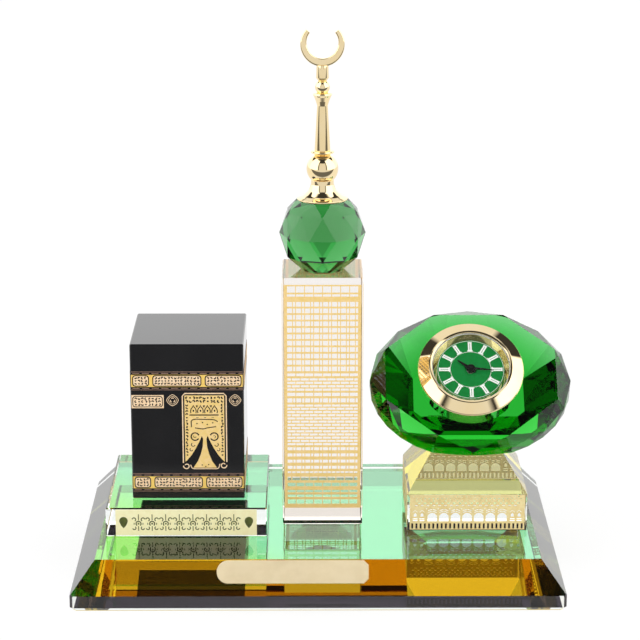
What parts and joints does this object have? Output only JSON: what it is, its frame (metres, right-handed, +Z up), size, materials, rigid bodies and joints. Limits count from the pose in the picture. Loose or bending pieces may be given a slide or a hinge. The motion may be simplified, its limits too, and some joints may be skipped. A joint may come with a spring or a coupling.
{
  "type": "crystal desk clock",
  "caption": "Desk clock of glass blocks: bevelled slab, black gilded cube, gilt-windowed tower with faceted ball and crescent finial, and an oval gem that holds a round clock insert.",
  "frame": {"origin": "middle of the base's underside, on the table", "axes": "+Z up, +X to the right of a person who reads the dial, +Y away from that person"},
  "size_m": [0.1708, 0.11, 0.1859],
  "materials": {
    "clear_glass": "polished optical glass",
    "green_glass": "polished green glass",
    "black_glass": "polished black glass, opaque",
    "coated_film": "colour-shifting mirror coating",
    "gilding": "thin gilt print",
    "pale_gold": "satin gold",
    "polished_gold": "polished gold plate",
    "lens_glass": "clear",
    "black_plastic": "moulded",
    "white_plastic": "moulded",
    "dial_green": "satin",
    "dial_white": "satin",
    "hand_black": "satin",
    "grip_rubber": "soft",
    "gear_plastic": "moulded",
    "gear_brass": "turned",
    "steel": "bright",
    "copper_wire": "enamelled wire",
    "board_green": "lacquered",
    "black_resin": "cured drop"
  },
  "bodies": {
    "stand": {"base_block": "clear_glass", "base_film": "coated_film", "name_plate": "pale_gold", "shrine_plinth": "clear_glass", "plinth_strip": "gilding", "shrine_block": "black_glass", "upper_band": "gilding", "lower_band": "gilding", "door_panel": "gilding", "cartouche": "gilding", "roundels": "gilding", "tower_block": "clear_glass", "tower_grid_front": "gilding", "tower_grid_side": "gilding", "faceted_ball": "green_glass", "finial_skirt": "polished_gold", "finial_knob": "polished_gold", "finial_cup": "polished_gold", "finial_spindle": "polished_gold", "finial_bead": "polished_gold", "crescent_socket": "polished_gold", "crescent": "polished_gold", "finial_stud": "steel", "clock_pedestal": "clear_glass", "arcade_wide": "gilding", "arcade_side": "gilding", "clock_crystal": "green_glass"},
    "clock_insert": {"bezel": "polished_gold", "reflector_ring": "polished_gold", "lens": "lens_glass", "lens_gasket": "white_plastic", "dial": "dial_green", "hour_marks": "dial_white", "dial_tracks": "dial_white", "case_body": "black_plastic", "grip_ring": "grip_rubber", "main_plate": "white_plastic", "stator": "steel", "coil_bobbin": "white_plastic", "coil_winding": "copper_wire", "circuit_board": "board_green", "chip_cap": "black_resin", "quartz_can": "steel", "battery": "steel", "battery_contact": "gear_brass", "train_bridge": "white_plastic", "bridge_screws": "steel", "back_cover": "black_plastic"},
    "minute_hand_set": {"minute_hand": "hand_black", "cannon_pinion": "gear_brass", "centre_wheel": "gear_plastic"},
    "hour_hand_set": {"hour_hand": "hand_black", "hour_wheel": "gear_plastic"},
    "minute_wheel_set": {"minute_wheel": "gear_plastic", "setting_knob": "black_plastic"},
    "third_wheel_set": {"third_wheel": "gear_plastic"},
    "rotor_set": {"rotor": "gear_plastic"},
    "battery_lid": {"battery_cover": "black_plastic"}
  },
  "joints": [
    {"name": "insert_slide", "type": "slide", "parent": "stand", "child": "clock_insert", "axis": [0, -0.6756, 0.7373], "range_m": [0, 0.02]},
    {"name": "minute_turn", "type": "hinge", "parent": "clock_insert", "child": "minute_hand_set", "pos_m": [0.0532, 0.0015, 0.06639], "axis": [0, -0.6756, 0.7373], "continuous": true},
    {"name": "hour_turn", "type": "hinge", "parent": "clock_insert", "child": "hour_hand_set", "pos_m": [0.0532, 0.0015, 0.06639], "axis": [0, -0.6756, 0.7373], "continuous": true},
    {"name": "minute_wheel_turn", "type": "hinge", "parent": "clock_insert", "child": "minute_wheel_set", "pos_m": [0.0532, -0.00219, 0.06301], "axis": [0, -0.6756, 0.7373], "continuous": true},
    {"name": "third_wheel_turn", "type": "hinge", "parent": "clock_insert", "child": "third_wheel_set", "pos_m": [0.04915, 0.00322, 0.06797], "axis": [0, -0.6756, 0.7373], "continuous": true},
    {"name": "rotor_turn", "type": "hinge", "parent": "clock_insert", "child": "rotor_set", "pos_m": [0.05029, 0.00637, 0.07085], "axis": [0, -0.6756, 0.7373], "continuous": true},
    {"name": "battery_lid_turn", "type": "hinge", "parent": "clock_insert", "child": "battery_lid", "pos_m": [0.0608, -0.00071, 0.06436], "axis": [0, -0.6756, 0.7373], "range_deg": [0, 45]}
  ],
  "couplings": [
    {"joint": "hour_turn", "follows": "minute_turn", "ratio": 0.083333},
    {"joint": "minute_wheel_turn", "follows": "minute_turn", "ratio": -0.33333},
    {"joint": "third_wheel_turn", "follows": "minute_turn", "ratio": -8},
    {"joint": "rotor_turn", "follows": "minute_turn", "ratio": 60}
  ]
}
